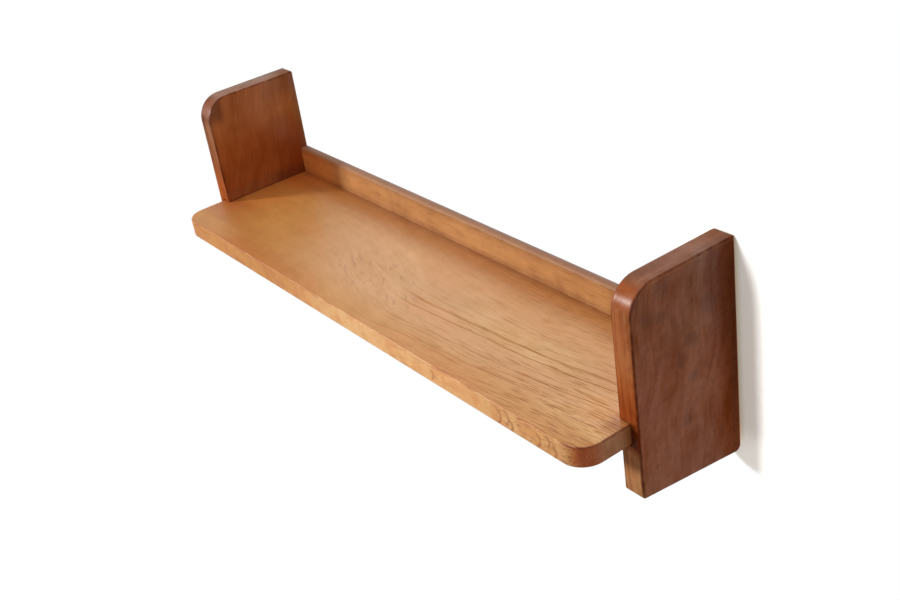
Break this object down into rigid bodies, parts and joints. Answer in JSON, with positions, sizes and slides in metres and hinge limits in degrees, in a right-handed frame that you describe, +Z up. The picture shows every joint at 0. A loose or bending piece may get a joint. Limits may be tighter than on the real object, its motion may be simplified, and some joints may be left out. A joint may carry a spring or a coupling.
{
  "type": "wall shelf",
  "caption": "Wall shelf: a board housed between upright side panels and standing out past their front edges, with a low rail along the back. Hangs on keyhole plates.",
  "frame": {"origin": "middle of the back rail's wall face", "axes": "+X along the shelf to the right seen from the room, +Y out of the back into the wall, +Z up"},
  "size_m": [0.8, 0.194, 0.2386],
  "materials": {
    "dark_teak": "oiled teak, dark red-brown, satin",
    "light_teak": "oiled teak, orange-tan, satin",
    "pale_beech": "bare beech",
    "screw_steel": "plain steel wood screw",
    "zinc_plate": "zinc-plated sheet steel"
  },
  "bodies": {
    "root": {"left_side_panel": "dark_teak", "right_side_panel": "dark_teak", "shelf_board": "light_teak", "back_rail": "light_teak", "left_lower_rail_dowel": "pale_beech", "left_upper_rail_dowel": "pale_beech", "right_lower_rail_dowel": "pale_beech", "right_upper_rail_dowel": "pale_beech", "rail_screw_1": "screw_steel", "rail_screw_2": "screw_steel", "rail_screw_3": "screw_steel", "left_hanger_plate": "zinc_plate", "right_hanger_plate": "zinc_plate", "left_lower_hanger_screw": "screw_steel", "left_upper_hanger_screw": "screw_steel", "right_lower_hanger_screw": "screw_steel", "right_upper_hanger_screw": "screw_steel"}
  },
  "joints": []
}
